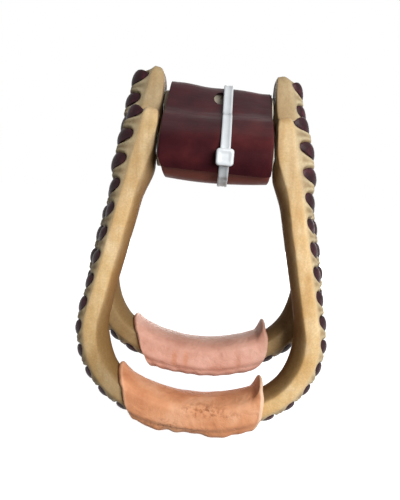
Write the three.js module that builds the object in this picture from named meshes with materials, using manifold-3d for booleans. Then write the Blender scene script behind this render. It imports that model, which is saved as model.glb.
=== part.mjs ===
// A pair of rawhide covered stirrups, laced along the outer seam and tied together at the neck.
// Millimetres, +Z up. The front stirrup faces -Y, and the origin is the middle of its neck bolt.

import * as THREE from "three";
import { mergeVertices } from "three/addons/utils/BufferGeometryUtils.js";
import Module from "manifold-3d";

const wasm = await Module();
wasm.setup();

// Outline of a covered frame, along the inner edge of its front face
const insideHalfWidth = 63.5;
const cornerRadius = 41.6;
const legLength = 105.7; // from the neck bolt down to the corner
const legTop = 23; // from the neck bolt up to the end of the leg
const legFlare = THREE.MathUtils.degToRad(12.6);
const cornerEnd = THREE.MathUtils.degToRad(66);

// Section of a covered frame
const frameDepth = 25;
const faceWidth = 9.1;
const edgeBevel = 1.2;
const rawhideThickness = 1.8;
const treadCrown = 4; // swell of the inner side, legs and bottom
const flatInset = 4; // from the inner edge beside the neck bolt in to the flats of the neck roller
const flatFade = 8.5; // length in which a flat turns into the swell below
const neckWiden = 2.8; // how much further in the face reaches below the roller
const seamRidge = 3.8; // height of the laced seam over the outer edge
const neckRidge = 9.2; // the same where the rawhide lies over the bolt
const neckEnd = 35; // from the top of a leg to where the neck's own section ends
const neckFade = 28; // length in which it turns into the section below
const endRound = 10; // length in which the top of a leg rounds off
const endShare = 0.42; // share of the full section that is left at the very top
const endStopShares = [0, 1 / 3, 1]; // of the length that rounds off
const swellShares = [[0.62, 0.58], [0.28, 1]]; // of the half depth, of the crown or ridge
const fitGap = 0.3;

// Seam lace
const stitchCount = 33;
const firstStitch = 9; // along the seam from the top of a leg
const laceWidth = 6.8;
const laceThickness = 2;
const stitchSlant = 5; // along the seam from one end of a stitch to the other
const slotWidth = 2.4;
const slotInset = 3.6; // from the top of a leg to the end of the seam slot
const stripRise = 0.8; // of the lace's inner run over the ridge
const stitchLift = 0.55; // from the rawhide to the underside of a stitch
const laceTopShare = 0.72; // width of a stitch on top

// Tread cover
const treadLength = 84; // along the inner side
const treadLean = THREE.MathUtils.degToRad(10); // of the ends, which makes the outer side shorter
const treadThickness = 2.8;
const frontTreadShift = -2.2; // the front cover sits a little to one side
const threadThickness = 1.3;
const threadWidth = 1.8;
const threadSpan = 8;
const threadSlant = 2;
const threadCount = 11;
const threadSlot = 1.4;
const threadTopShare = 0.6;
const threadInset = 7; // from an end of the inner side to the first stitch

// Neck bolt, washers, nut and roller
const boltShare = 0.16; // radius of the bolt, of the frame's depth
const boltSeat = 7; // from the inner edge to the seat of a washer, along the bolt
const washerShare = 0.32; // radius of a washer, of the frame's depth
const washerThickness = 1.2;
const hexShare = 0.48; // of the frame's depth
const hexSides = 6;
const hexHeight = 4;
const boltEnd = 0.8; // thread past the nut
const rollerRadius = 10;
const rollerPlay = 0.7; // between an end of the roller and the flat

// How the rear stirrup lies to the front one
const rearOffset = 28.6;
const rearRise = 29.5;

// Leather wrap round both rollers
const wrapPlay = 2.2; // between a side of the wrap and the flat
const wrapThickness = 4.2;
const wrapTail = 9; // inner end, up from the front roller
const wrapLay = 14; // length over which the outer layer lies along the inner end
const wrapEndAngle = THREE.MathUtils.degToRad(84);
const wrapSlack = 3; // of the loop round the front roller, away from the rear one
const layerGap = 1;
const holeRadius = 3.5;
const holeSide = 0.8;
const holeRise = 1.5; // past the rear roller's tangent point

// Cable tie
const tieSide = 5.4;
const strapWidth = 5.8;
const strapThickness = 1.2;
const headWidth = 10.2;
const headLength = 10.7;
const headHeight = 6.4;
const headCorner = 1.3;
const headAngle = THREE.MathUtils.degToRad(2); // below level, round the front roller
const tieLag = THREE.MathUtils.degToRad(5.4); // past the wrap's outer end, where the tie starts to drop
const tieRise = THREE.MathUtils.degToRad(14); // round the front roller, where it starts to rise to its head

const arcStep = THREE.MathUtils.degToRad(12);
const cutOver = 1; // overrun of every cut
const roundSides = 24;
const cornerRings = 6;
const bottomRings = 7;
const treadRings = 12;
const seamSamples = 1500;

// Outline values that follow from the above
const corner = new THREE.Vector2(insideHalfWidth - cornerRadius, -cornerRadius * Math.sin(legFlare) -
  legLength * Math.cos(legFlare));
const bottomRadius = (corner.x + cornerRadius * Math.cos(cornerEnd)) / Math.cos(cornerEnd);
const bottomHeight = corner.y + (bottomRadius - cornerRadius) * Math.sin(cornerEnd);
const legTotal = legTop + legLength;
const cornerTotal = cornerRadius * (legFlare + cornerEnd);
const halfTotal = legTotal + cornerTotal + bottomRadius * (Math.PI / 2 - cornerEnd);
const neckHalfWidth = corner.x + cornerRadius * Math.cos(legFlare) - legLength * Math.sin(legFlare);
const flatHalfWidth = neckHalfWidth - flatInset;
const wrapHalfWidth = flatHalfWidth - wrapPlay;
const boltRadius = boltShare * frameDepth;
const washerRadius = washerShare * frameDepth;
const hexAcross = hexShare * frameDepth;
const treadUnder = stitchLift + laceThickness + 2 * fitGap; // room under the tread cover for the stitches
const washerFace = neckHalfWidth + boltSeat + fitGap / 2;
const hexFace = washerFace + washerThickness + fitGap / 2;

// Colours
const finishes = {
  wood: { color: "#c9a06a", roughness: 0.7 },
  rawhide: { color: "#d3b37c", roughness: 0.45 },
  latigo: { color: "#42222b", roughness: 0.5 },
  treadLeather: { color: "#dd9c76", roughness: 0.6 },
  wrapLeather: { color: "#4c2529", roughness: 0.45 },
  thread: { color: "#d8c6a0", roughness: 0.8 },
  steel: { color: "#b9bcc0", roughness: 0.35, metalness: 1 },
  roller: { color: "#b4aa98", roughness: 0.5 },
  nylon: { color: "#eceff0", roughness: 0.4 },
};

// Solids

function solidFrom(positions, triangles) {
  return new wasm.Manifold(new wasm.Mesh({
    numProp: 3,
    vertProperties: new Float32Array(positions),
    triVerts: new Uint32Array(triangles),
  }));
}

function solidOf(geometry) {
  geometry.deleteAttribute("normal");
  geometry.deleteAttribute("uv");
  const merged = mergeVertices(geometry);
  return solidFrom(merged.getAttribute("position").array, merged.index.array);
}

function meshOf(name, solid, finish) {
  const { vertProperties, triVerts } = solid.getMesh();
  const geometry = new THREE.BufferGeometry();
  geometry.setAttribute("position", new THREE.BufferAttribute(vertProperties, 3));
  geometry.setIndex(new THREE.BufferAttribute(triVerts, 1));
  geometry.computeVertexNormals();
  const mesh = new THREE.Mesh(geometry, new THREE.MeshStandardMaterial(finishes[finish]));
  mesh.name = name;
  return mesh;
}

// A closed skin over outlines that all have the same number of points
function loft(outlines, pointAt) {
  const count = outlines[0].length;
  const last = (outlines.length - 1) * count;
  const positions = outlines.flatMap((outline, ring) => outline.flatMap((p) => pointAt(p, ring)));
  const triangles = [];
  for (let ring = 0; ring < last; ring += count) {
    for (let side = 0; side < count; side++) {
      const a = ring + side;
      const b = ring + (side + 1) % count;
      triangles.push(a, b, b + count, a, b + count, a + count);
    }
  }
  for (const [a, b, c] of THREE.ShapeUtils.triangulateShape(outlines[0], [])) triangles.push(a, c, b);
  for (const [a, b, c] of THREE.ShapeUtils.triangulateShape(outlines.at(-1), [])) {
    triangles.push(last + a, last + b, last + c);
  }
  return solidFrom(positions, triangles);
}

// A cylinder or prism along X between two places
function rodAlongX(radius, from, to, sides = roundSides) {
  const rod = new THREE.CylinderGeometry(radius, radius, to - from, sides);
  rod.rotateZ(Math.PI / 2);
  rod.translate((from + to) / 2, 0, 0);
  return solidOf(rod);
}

// An outline in the YZ plane, pushed out along X about a middle
function slabAlongX(outline, middle, width) {
  const slab = new THREE.ExtrudeGeometry(new THREE.Shape(outline), { depth: width, bevelEnabled: false });
  slab.translate(0, 0, middle - width / 2);
  const turn = new THREE.Matrix4().makeBasis(
    new THREE.Vector3(0, 1, 0), new THREE.Vector3(0, 0, 1), new THREE.Vector3(1, 0, 0));
  slab.applyMatrix4(turn);
  return solidOf(slab);
}

// Places along the frame, by length from the top of the left leg

function placeAt(length) {
  const fromTop = Math.min(length, 2 * halfTotal - length);
  const side = length <= halfTotal ? -1 : 1;
  let angle = legFlare;
  let centre = corner;
  let radius = cornerRadius;
  let along = legTotal - fromTop;
  if (fromTop > legTotal) {
    along = 0;
    angle = legFlare - (fromTop - legTotal) / cornerRadius;
  }
  if (fromTop > legTotal + cornerTotal) {
    angle = -cornerEnd - (fromTop - legTotal - cornerTotal) / bottomRadius;
    centre = new THREE.Vector2(0, bottomHeight);
    radius = bottomRadius;
  }
  const n = new THREE.Vector2(side * Math.cos(angle), Math.sin(angle));
  return {
    x: side * centre.x + radius * n.x - side * along * Math.sin(legFlare),
    z: centre.y + radius * n.y + along * Math.cos(legFlare),
    nx: n.x,
    nz: n.y,
    fromTop,
  };
}

// A point at a height over the inner edge and a depth from the middle
function pointOn(place, height, depth) {
  return [place.x + place.nx * height, depth, place.z + place.nz * height];
}

const neckStops = [neckEnd, neckEnd + flatFade, neckEnd + neckFade];

// Rings of the frame: at the given lengths from the tops, then round the corners and the bottom
function frameRings(legStops) {
  const lengths = [...legStops];
  for (let i = 0; i < cornerRings; i++) lengths.push(legTotal + cornerTotal * i / cornerRings);
  for (let i = 0; i < bottomRings / 2; i++) {
    lengths.push(legTotal + cornerTotal + 2 * (halfTotal - legTotal - cornerTotal) * i / bottomRings);
  }
  return [...lengths, ...lengths.map((length) => 2 * halfTotal - length).reverse()].map(placeAt);
}

function neckShare(fromTop) {
  return THREE.MathUtils.clamp(1 - (fromTop - neckEnd) / neckFade, 0, 1);
}

function ridgeAt(place) {
  return THREE.MathUtils.lerp(seamRidge, neckRidge, neckShare(place.fromTop));
}

// The face is wider at the neck, on its inner side
function widenAt(place) {
  const fade = (place.fromTop - neckEnd - flatFade) / (neckFade - flatFade);
  return neckWiden * THREE.MathUtils.clamp(Math.min(place.fromTop / neckEnd, 1 - fade), 0, 1);
}

// The inner side is swollen, and stands upright at the neck
function crownAt(place) {
  const flatTop = Math.min(place.fromTop, neckEnd);
  const inset = neckHalfWidth + (flatTop - legTop) * Math.sin(legFlare) - widenAt(place) - flatHalfWidth;
  const fade = THREE.MathUtils.clamp((place.fromTop - neckEnd) / flatFade, 0, 1);
  return THREE.MathUtils.lerp(Math.max(inset / Math.cos(legFlare), 0), treadCrown, fade);
}

function roundShare(place) {
  const rise = 1 - Math.min(place.fromTop / endRound, 1);
  return endShare + (1 - endShare) * Math.sqrt(1 - rise * rise);
}

// The section of the covered frame, grown outwards: x is the height over the inner edge, y the depth
function section(place, growth, { seamGrowth = growth, ridge = ridgeAt(place) } = {}) {
  const round = roundShare(place);
  const half = frameDepth / 2 * round + growth;
  const inner = faceWidth / 2 * (1 - round) - growth - widenAt(place) * round;
  const outer = faceWidth / 2 * (1 + round) + seamGrowth;
  const right = [[outer - edgeBevel, -half], [outer, edgeBevel - half]];
  const left = [[inner + edgeBevel, -half], [inner, edgeBevel - half]];
  for (const [depthShare, heightShare] of swellShares) {
    right.push([outer + ridge * round * heightShare, -half * depthShare]);
    left.push([inner - crownAt(place) * round * heightShare, -half * depthShare]);
  }
  const mirrored = (points) => points.map(([x, y]) => [x, -y]).reverse();
  const outline = [...right, ...mirrored(right), ...left.map(([x, y]) => [x, -y]), ...left.reverse()];
  return outline.map(([x, y]) => new THREE.Vector2(x, y));
}

function sweep(places, outlineAt) {
  return loft(places.map(outlineAt), (p, ring) => pointOn(places[ring], p.x, p.y));
}

// Height of the outer side at a depth, over the inner edge
function outerHeight(place, depth) {
  const round = roundShare(place);
  const half = frameDepth / 2 * round;
  const steps = [[0, 1], ...[...swellShares].reverse(), [1 - edgeBevel / half, 0], [1, 0]];
  const share = Math.min(Math.abs(depth) / half, 1);
  const next = Math.max(steps.findIndex(([depthShare]) => depthShare >= share), 1);
  const [depthA, heightA] = steps[next - 1];
  const [depthB, heightB] = steps[next];
  const rise = THREE.MathUtils.mapLinear(share, depthA, depthB, heightA, heightB);
  return faceWidth / 2 * (1 + round) + ridgeAt(place) * round * rise;
}

// The seam, measured along its ridge from the top of the left leg
const seam = [{ place: placeAt(0), distance: 0 }];
for (let i = 1; i <= seamSamples; i++) {
  const place = placeAt(2 * halfTotal * i / seamSamples);
  const before = seam.at(-1);
  const here = new THREE.Vector3(...pointOn(place, outerHeight(place, 0), 0));
  const there = new THREE.Vector3(...pointOn(before.place, outerHeight(before.place, 0), 0));
  seam.push({ place, distance: before.distance + here.distanceTo(there) });
}

function onSeam(distance) {
  return (seam.find((stop) => stop.distance >= distance) ?? seam.at(-1)).place;
}

const seamMiddle = seam.at(-1).distance / 2;

// Distance along the seam to where it passes a place under the tread
function seamDistance(x) {
  const passed = ({ place }) => place.fromTop > legTotal && pointOn(place, outerHeight(place, 0), 0)[0] >= x;
  return seam.find(passed).distance;
}

function spread(from, to, count) {
  return Array.from({ length: count }, (_, i) => THREE.MathUtils.lerp(from, to, i / (count - 1)));
}

// One stitch over the seam: a strap bent over the ridge, its ends narrow and dived into the surface.
// Its front end is the higher one on both legs.
const kinkShare = swellShares[1][0] / swellShares[0][0];
const stitchShares = [[-1, 0.6, 0.5], [-kinkShare, 1, 1], [kinkShare, 1, 1], [1, 0.6, 0.5]];
function stitch(distance, lace) {
  const slant = distance > seamMiddle ? -lace.slant : lace.slant;
  const outlines = stitchShares.map(([, widthShare, heightShare]) => {
    const half = lace.width / 2 * widthShare;
    const top = half * lace.topShare;
    const rise = lace.thickness * heightShare;
    return [
      new THREE.Vector2(-half, 0),
      new THREE.Vector2(half, 0),
      new THREE.Vector2(top, rise),
      new THREE.Vector2(-top, rise),
    ];
  });
  return loft(outlines, (p, ring) => {
    const across = stitchShares[ring][0];
    const depth = across * lace.span / 2;
    const place = onSeam(distance + p.x + across * slant / 2);
    return pointOn(place, outerHeight(place, depth) + lace.base + p.y, depth);
  });
}

// A strip that runs in the slot of a seam
function seamStrip(places, width, bottom, top) {
  return sweep(places, (place) => {
    const ridge = outerHeight(place, 0);
    return [
      new THREE.Vector2(ridge + bottom, -width / 2),
      new THREE.Vector2(ridge + top, -width / 2),
      new THREE.Vector2(ridge + top, width / 2),
      new THREE.Vector2(ridge + bottom, width / 2),
    ];
  });
}

// Parts of one stirrup

function frameSolid(firstStop, growth) {
  const endStops = endStopShares.map((share) => THREE.MathUtils.lerp(firstStop, endRound, share));
  const places = frameRings([...endStops, ...neckStops]);
  return sweep(places, (place) => section(place, growth));
}

const voidGrowth = -rawhideThickness;
const coreGrowth = voidGrowth - fitGap;
const boltHole = rodAlongX(boltRadius + fitGap, -washerFace, washerFace);

function makeCore() {
  const places = frameRings([-coreGrowth, endRound, ...neckStops]);
  const core = sweep(places, (place) => section(place, coreGrowth, { ridge: seamRidge }));
  const seatFace = neckHalfWidth + boltSeat;
  const reach = seatFace + insideHalfWidth;
  const seats = [-1, 1].map((side) =>
    rodAlongX(washerRadius + fitGap, Math.min(side * seatFace, side * reach), Math.max(side * seatFace,
      side * reach)));
  return core.subtract(boltHole).subtract(seats[0]).subtract(seats[1]);
}

function slotPlaces(inset) {
  return frameRings([inset, endRound, ...neckStops]);
}

function makeCover() {
  const skin = frameSolid(0, 0).subtract(frameSolid(rawhideThickness, voidGrowth));
  const slot = seamStrip(slotPlaces(slotInset), slotWidth, voidGrowth - cutOver, cutOver);
  return skin.subtract(slot).subtract(boltHole);
}

function makeLace() {
  const lace = {
    width: laceWidth,
    thickness: laceThickness,
    span: frameDepth * swellShares[0][0],
    slant: stitchSlant,
    base: stitchLift,
    topShare: laceTopShare,
  };
  const places = spread(firstStitch, seam.at(-1).distance - firstStitch, stitchCount);
  const stitches = places.map((distance) => stitch(distance, lace));
  const rounded = frameSolid(0, fitGap);
  const trimmed = stitches.map((solid, i) => i % (stitchCount - 1) ? solid : solid.subtract(rounded));
  const strip = seamStrip(slotPlaces(slotInset + fitGap), slotWidth - 2 * fitGap, voidGrowth + fitGap / 2,
    stripRise);
  return wasm.Manifold.union([strip, ...trimmed]);
}

// The stretch of the frame under the tread cover, a little longer than the cover
function treadPlaces() {
  const reach = halfTotal - legTotal - cornerTotal / 2;
  return spread(halfTotal - reach, halfTotal + reach, treadRings).map(placeAt);
}

function makeTread(shift) {
  const outer = sweep(treadPlaces(), (place) =>
    section(place, fitGap + treadThickness, { seamGrowth: treadUnder + treadThickness }));
  const hollow = sweep(treadPlaces(), (place) => section(place, fitGap, { seamGrowth: treadUnder }));
  const slot = seamStrip(treadPlaces(), threadSlot, treadUnder - cutOver,
    treadUnder + treadThickness + cutOver);
  const half = treadLength / 2;
  const rise = Math.sqrt(cornerRadius ** 2 - (half - corner.x) ** 2);
  const drop = 2 * cornerRadius - rise;
  const trimShape = new THREE.Shape([
    new THREE.Vector2(-half - rise * Math.tan(treadLean), corner.y),
    new THREE.Vector2(drop * Math.tan(treadLean) - half, corner.y - 2 * cornerRadius),
    new THREE.Vector2(half - drop * Math.tan(treadLean), corner.y - 2 * cornerRadius),
    new THREE.Vector2(half + rise * Math.tan(treadLean), corner.y),
  ]);
  const trim = new THREE.ExtrudeGeometry(trimShape, { depth: 2 * frameDepth, bevelEnabled: false });
  trim.rotateX(Math.PI / 2);
  trim.translate(shift, frameDepth, 0);
  return outer.subtract(hollow).subtract(slot).intersect(solidOf(trim));
}

function makeThread(shift) {
  const surface = treadUnder + treadThickness + fitGap;
  const reach = treadLength / 2 - threadInset;
  const thread = {
    width: threadWidth,
    thickness: threadThickness,
    span: threadSpan,
    slant: threadSlant,
    base: surface,
    topShare: threadTopShare,
  };
  const places = spread(seamDistance(shift - reach), seamDistance(shift + reach), threadCount);
  const strip = seamStrip(places.map(onSeam), threadSlot - 2 * fitGap, surface - treadThickness,
    surface + threadThickness / 2);
  return wasm.Manifold.union([strip, ...places.map((distance) => stitch(distance, thread))]);
}

function hexPrism(from, to) {
  return rodAlongX(hexAcross / 2 / Math.cos(Math.PI / hexSides), from, to, hexSides);
}

function makeBolt() {
  const head = hexPrism(-hexFace - hexHeight, -hexFace);
  return head.add(rodAlongX(boltRadius, -hexFace - hexHeight / 2, hexFace + hexHeight + boltEnd));
}

function makeNut() {
  const hole = rodAlongX(boltRadius + fitGap, hexFace - cutOver, hexFace + hexHeight + cutOver);
  return hexPrism(hexFace, hexFace + hexHeight).subtract(hole);
}

function makeWasher(from) {
  const to = from + washerThickness;
  const hole = rodAlongX(boltRadius + fitGap, from - cutOver, to + cutOver);
  return rodAlongX(washerRadius, from, to).subtract(hole);
}

function makeRoller() {
  const half = flatHalfWidth - rollerPlay;
  const bore = rodAlongX(boltRadius + fitGap, -half - cutOver, half + cutOver);
  return rodAlongX(rollerRadius, -half, half).subtract(bore);
}

function makeStirrup(name, treadShift) {
  const stirrup = new THREE.Group();
  stirrup.add(
    meshOf(name + "_frame_core", makeCore(), "wood"),
    meshOf(name + "_rawhide_cover", makeCover(), "rawhide"),
    meshOf(name + "_seam_lace", makeLace(), "latigo"),
    meshOf(name + "_tread_cover", makeTread(treadShift), "treadLeather"),
    meshOf(name + "_tread_thread", makeThread(treadShift), "thread"),
    meshOf(name + "_neck_bolt", makeBolt(), "steel"),
    meshOf(name + "_neck_nut", makeNut(), "steel"),
    meshOf(name + "_head_washer", makeWasher(-washerFace - washerThickness), "steel"),
    meshOf(name + "_nut_washer", makeWasher(washerFace), "steel"),
    meshOf(name + "_neck_roller", makeRoller(), "roller"),
  );
  return stirrup;
}

// The wrap and the tie go round both rollers, in the YZ plane

const rollerLine = new THREE.Vector2(rearOffset, rearRise);
const rollerWay = rollerLine.clone().normalize();
const frontAngle = Math.atan2(rollerWay.x, -rollerWay.y); // of the side that faces forwards and up

function onCircle(centre, radius, angle) {
  return new THREE.Vector2(Math.cos(angle), Math.sin(angle)).multiplyScalar(radius).add(centre);
}

function arc(centre, radius, from, to) {
  const steps = Math.max(Math.ceil(Math.abs(to - from) / arcStep), 1);
  const points = [];
  for (let i = 0; i <= steps; i++) points.push(onCircle(centre, radius, from + (to - from) * i / steps));
  return points;
}

// The outline of a strap of even thickness along a middle line
function ribbon(line, thickness) {
  const sides = [-1, 1].map((side) => line.map((point, i) => {
    const way = line[Math.min(i + 1, line.length - 1)].clone().sub(line[Math.max(i - 1, 0)]).normalize();
    return new THREE.Vector2(point.x - side * way.y * thickness / 2, point.y + side * way.x * thickness / 2);
  }));
  return [...sides[0], ...sides[1].reverse()];
}

const frontLoop = rollerWay.clone().multiplyScalar(-wrapSlack);
const innerLayer = rollerRadius + fitGap + wrapThickness / 2;
const outerLayer = innerLayer + wrapThickness + layerGap;

function makeWrap() {
  const alongFront = (way, radius) =>
    onCircle(rollerWay.clone().multiplyScalar(way), radius, frontAngle);
  const line = [
    alongFront(wrapTail, innerLayer),
    ...arc(frontLoop, innerLayer, frontAngle, frontAngle + Math.PI),
    ...arc(rollerLine, innerLayer, frontAngle + Math.PI, frontAngle + 2 * Math.PI),
    alongFront(wrapLay, outerLayer),
    ...arc(frontLoop, outerLayer, frontAngle, frontAngle + wrapEndAngle),
  ];
  const strap = slabAlongX(ribbon(line, wrapThickness), 0, 2 * wrapHalfWidth);
  const punch = new THREE.CylinderGeometry(holeRadius, holeRadius, 2 * wrapThickness, roundSides);
  const middle = alongFront(rollerLine.length() + holeRise, innerLayer);
  punch.rotateX(frontAngle);
  punch.translate(holeSide, middle.x, middle.y);
  return strap.subtract(solidOf(punch));
}

function makeTie() {
  const skin = wrapThickness / 2 + fitGap;
  const frontRadius = outerLayer + skin + strapThickness / 2;
  const rearRadius = innerLayer + skin + strapThickness / 2;
  const head = Math.PI + headAngle;
  const slotRadius = frontRadius + strapThickness + 2 * fitGap;
  const headTurn = headLength / 2 / frontRadius;
  const layerEnd = frontAngle + wrapEndAngle + tieLag;
  const drop = Math.acos(rearRadius / frontRadius);
  const enter = onCircle(frontLoop, slotRadius, head);
  const way = new THREE.Vector2(-Math.sin(head), Math.cos(head));
  const line = [
    ...arc(frontLoop, frontRadius, head + headTurn / 2, layerEnd),
    ...arc(frontLoop, rearRadius, layerEnd + drop, frontAngle + Math.PI),
    ...arc(rollerLine, rearRadius, frontAngle + Math.PI, frontAngle + 2 * Math.PI),
    onCircle(rollerWay.clone().multiplyScalar(wrapLay), frontRadius, frontAngle),
    ...arc(frontLoop, frontRadius, frontAngle, frontAngle + tieRise),
    enter.clone().addScaledVector(way, -headLength / 2),
    enter.clone().addScaledVector(way, headLength / 2 + fitGap),
  ];
  const strap = slabAlongX(ribbon(line, strapThickness), tieSide, strapWidth);
  const shape = new THREE.Shape();
  const w = headWidth / 2;
  const l = headLength / 2;
  shape.moveTo(headCorner - w, -l);
  shape.lineTo(w - headCorner, -l);
  shape.lineTo(w, headCorner - l);
  shape.lineTo(w, l - headCorner);
  shape.lineTo(w - headCorner, l);
  shape.lineTo(headCorner - w, l);
  shape.lineTo(-w, l - headCorner);
  shape.lineTo(-w, headCorner - l);
  const block = new THREE.ExtrudeGeometry(shape, { depth: headHeight, bevelEnabled: false });
  const slot = new THREE.BoxGeometry(strapWidth + 2 * fitGap, headLength + cutOver,
    strapThickness + 2 * fitGap);
  slot.translate(0, 0, slotRadius - frontRadius + strapThickness / 2);
  const along = new THREE.Vector3(0, way.x, way.y);
  const outwards = new THREE.Vector3(0, Math.cos(head), Math.sin(head));
  const turn = new THREE.Matrix4().makeBasis(along.clone().cross(outwards), along, outwards);
  const base = onCircle(frontLoop, frontRadius - strapThickness / 2, head);
  turn.setPosition(tieSide, base.x, base.y);
  block.applyMatrix4(turn);
  slot.applyMatrix4(turn);
  return solidOf(block).subtract(solidOf(slot)).add(strap);
}

const pair = new THREE.Group();
const front = makeStirrup("front", frontTreadShift);
const rear = makeStirrup("rear", 0);
rear.position.set(0, rearOffset, rearRise);
pair.add(
  front,
  rear,
  meshOf("neck_wrap", makeWrap(), "wrapLeather"),
  meshOf("cable_tie", makeTie(), "nylon"),
);

export default pair;
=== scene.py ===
import math

import bpy
import numpy as np
from mathutils import Matrix, Vector, noise


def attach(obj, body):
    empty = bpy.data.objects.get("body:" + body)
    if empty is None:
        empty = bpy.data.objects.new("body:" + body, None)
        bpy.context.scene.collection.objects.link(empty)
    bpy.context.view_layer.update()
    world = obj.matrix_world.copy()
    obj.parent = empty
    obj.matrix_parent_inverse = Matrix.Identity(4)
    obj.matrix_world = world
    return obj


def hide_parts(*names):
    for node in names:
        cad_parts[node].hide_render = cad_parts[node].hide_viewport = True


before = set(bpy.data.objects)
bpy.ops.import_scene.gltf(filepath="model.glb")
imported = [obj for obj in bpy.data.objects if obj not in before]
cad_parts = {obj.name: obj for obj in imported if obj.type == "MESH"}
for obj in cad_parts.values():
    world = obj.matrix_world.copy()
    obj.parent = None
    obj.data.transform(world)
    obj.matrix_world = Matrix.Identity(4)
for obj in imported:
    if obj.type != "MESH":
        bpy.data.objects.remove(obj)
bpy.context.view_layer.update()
mm = 0.001
print("frame loaded,", len(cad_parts), "nodes")


# Camera, as the photograph was taken
cameraView = {
    "lens": 41.18,
    "sensorWidth": 36,
    "location": (-0.0013, -0.3509, -0.0192),
    "right": (0.996823, 0.018370, 0.077500),
    "up": (-0.079082, 0.112542, 0.990495),
}
cameraData = bpy.data.cameras.new("camera")
cameraData.lens = cameraView["lens"]
cameraData.sensor_width = cameraView["sensorWidth"]
cameraData.clip_start = 0.01
camera = bpy.data.objects.new("camera", cameraData)
bpy.context.scene.collection.objects.link(camera)
right, up = Vector(cameraView["right"]), Vector(cameraView["up"])
turn = Matrix((right, up, right.cross(up))).transposed()
camera.matrix_world = Matrix.Translation(cameraView["location"]) @ turn.to_4x4()
bpy.context.scene.camera = camera


# Small helpers for colours and nodes
def linear(hexColour):
    values = [int(hexColour[i:i + 2], 16) / 255 for i in (1, 3, 5)]
    return tuple(v / 12.92 if v <= 0.04045 else ((v + 0.055) / 1.055) ** 2.4 for v in values) + (1.0,)


# A link's source is a value, a socket, or a node, which stands for its first output in use
def add(tree, kind, links=None, stops=(), **settings):
    node = tree.nodes.new(kind)
    for name, value in settings.items():
        setattr(node, name, value)
    for socket, source in (links or {}).items():
        if isinstance(source, bpy.types.Node):
            source = next(output for output in source.outputs if output.enabled)
        if isinstance(source, bpy.types.NodeSocket):
            tree.links.new(source, node.inputs[socket])
        else:
            node.inputs[socket].default_value = source
    for i, (place, hexColour) in enumerate(stops):
        elements = node.color_ramp.elements
        element = elements[i] if i < len(elements) else elements.new(place)
        element.position = place
        element.color = linear(hexColour)
    return node


def newMaterial(name):
    material = bpy.data.materials.new(name)
    material.use_nodes = True
    tree = material.node_tree
    tree.nodes.clear()
    return material, tree, add(tree, "ShaderNodeTexCoord").outputs["Object"]


# Lays colours over one another. A layer has its share, a node or the name of a stored value, its strength
# and its colour
def coloured(tree, colour, layers):
    for share, strength, hexColour in layers:
        if isinstance(share, str):
            share = add(tree, "ShaderNodeAttribute", attribute_name=share).outputs["Fac"]
        share = add(tree, "ShaderNodeMath", {0: share, 1: strength}, operation="MULTIPLY")
        links = {"Factor": share, 6: colour, 7: linear(hexColour)}
        colour = add(tree, "ShaderNodeMix", links, data_type="RGBA")
    return colour


# Roughness is a value, or a pattern and what its darker and lighter parts give. A relief has its pattern,
# strength and depth
def finishMaterial(tree, colour, roughness, reliefs, more=None):
    if isinstance(roughness, tuple):
        pattern, darker, lighter = roughness
        links = {"Value": pattern, "From Min": 0.3, "From Max": 0.7, "To Min": darker, "To Max": lighter}
        roughness = add(tree, "ShaderNodeMapRange", links)
    finish = {"Base Color": colour, "Roughness": roughness, **(more or {})}
    for pattern, strength, depth in reliefs:
        links = {"Height": pattern, "Strength": strength, "Distance": depth}
        if "Normal" in finish:
            links["Normal"] = finish["Normal"]
        finish["Normal"] = add(tree, "ShaderNodeBump", links)
    shader = add(tree, "ShaderNodeBsdfPrincipled", finish)
    add(tree, "ShaderNodeOutputMaterial", {"Surface": shader})


# Small helpers for shapes, in millimetres
def smoothstep(low, high, value):
    t = np.clip((value - low) / (high - low), 0, 1)
    return t * t * (3 - 2 * t)


def bump(value, centre, width):
    return np.exp(-((value - centre) / width) ** 2)


def gridFaces(rings, count, closeRings=False):
    i = np.arange(rings if closeRings else rings - 1)[:, None]
    j = np.arange(count)[None, :]
    after = (i + 1) % rings
    beside = (j + 1) % count
    corners = [i * count + j, i * count + beside, after * count + beside, after * count + j]
    return np.stack(corners, -1).reshape(-1, 4).tolist()


def signedVolume(points, faces):
    total = 0.0
    for face in faces:
        for k in range(1, len(face) - 1):
            total += np.dot(points[face[0]], np.cross(points[face[k]], points[face[k + 1]]))
    return total


def linked(name, data):
    made = bpy.data.objects.new(name, data)
    bpy.context.scene.collection.objects.link(made)
    return made


def storeValues(mesh, kind, attributes):
    for name, values in attributes.items():
        layer = mesh.attributes.new(name, kind, "POINT")
        field = "vector" if kind == "FLOAT_VECTOR" else "value"
        layer.data.foreach_set(field, np.asarray(values, np.float32).ravel())


def makePiece(name, points, faces, material, attributes=None, uv=None):
    points = np.asarray(points, float) * mm
    if signedVolume(points, faces) < 0:
        faces = [face[::-1] for face in faces]
    mesh = bpy.data.meshes.new(name)
    mesh.from_pydata(points.tolist(), [], faces)
    mesh.validate()
    mesh.polygons.foreach_set("use_smooth", [True] * len(mesh.polygons))
    storeValues(mesh, "FLOAT", attributes or {})
    if uv is not None:
        layer = mesh.uv_layers.new(name="lay")
        corners = np.zeros(len(mesh.loops), np.int32)
        mesh.loops.foreach_get("vertex_index", corners)
        layer.data.foreach_set("uv", np.asarray(uv, np.float32)[corners].ravel())
    mesh.materials.append(material)
    return linked(name, mesh)


def settle(piece, body, slotName, *nodes):
    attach(piece, body)
    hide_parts(*nodes)
    print(piece.name, "made,", sum(len(p.vertices) - 2 for p in piece.data.polygons), "triangles")


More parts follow.
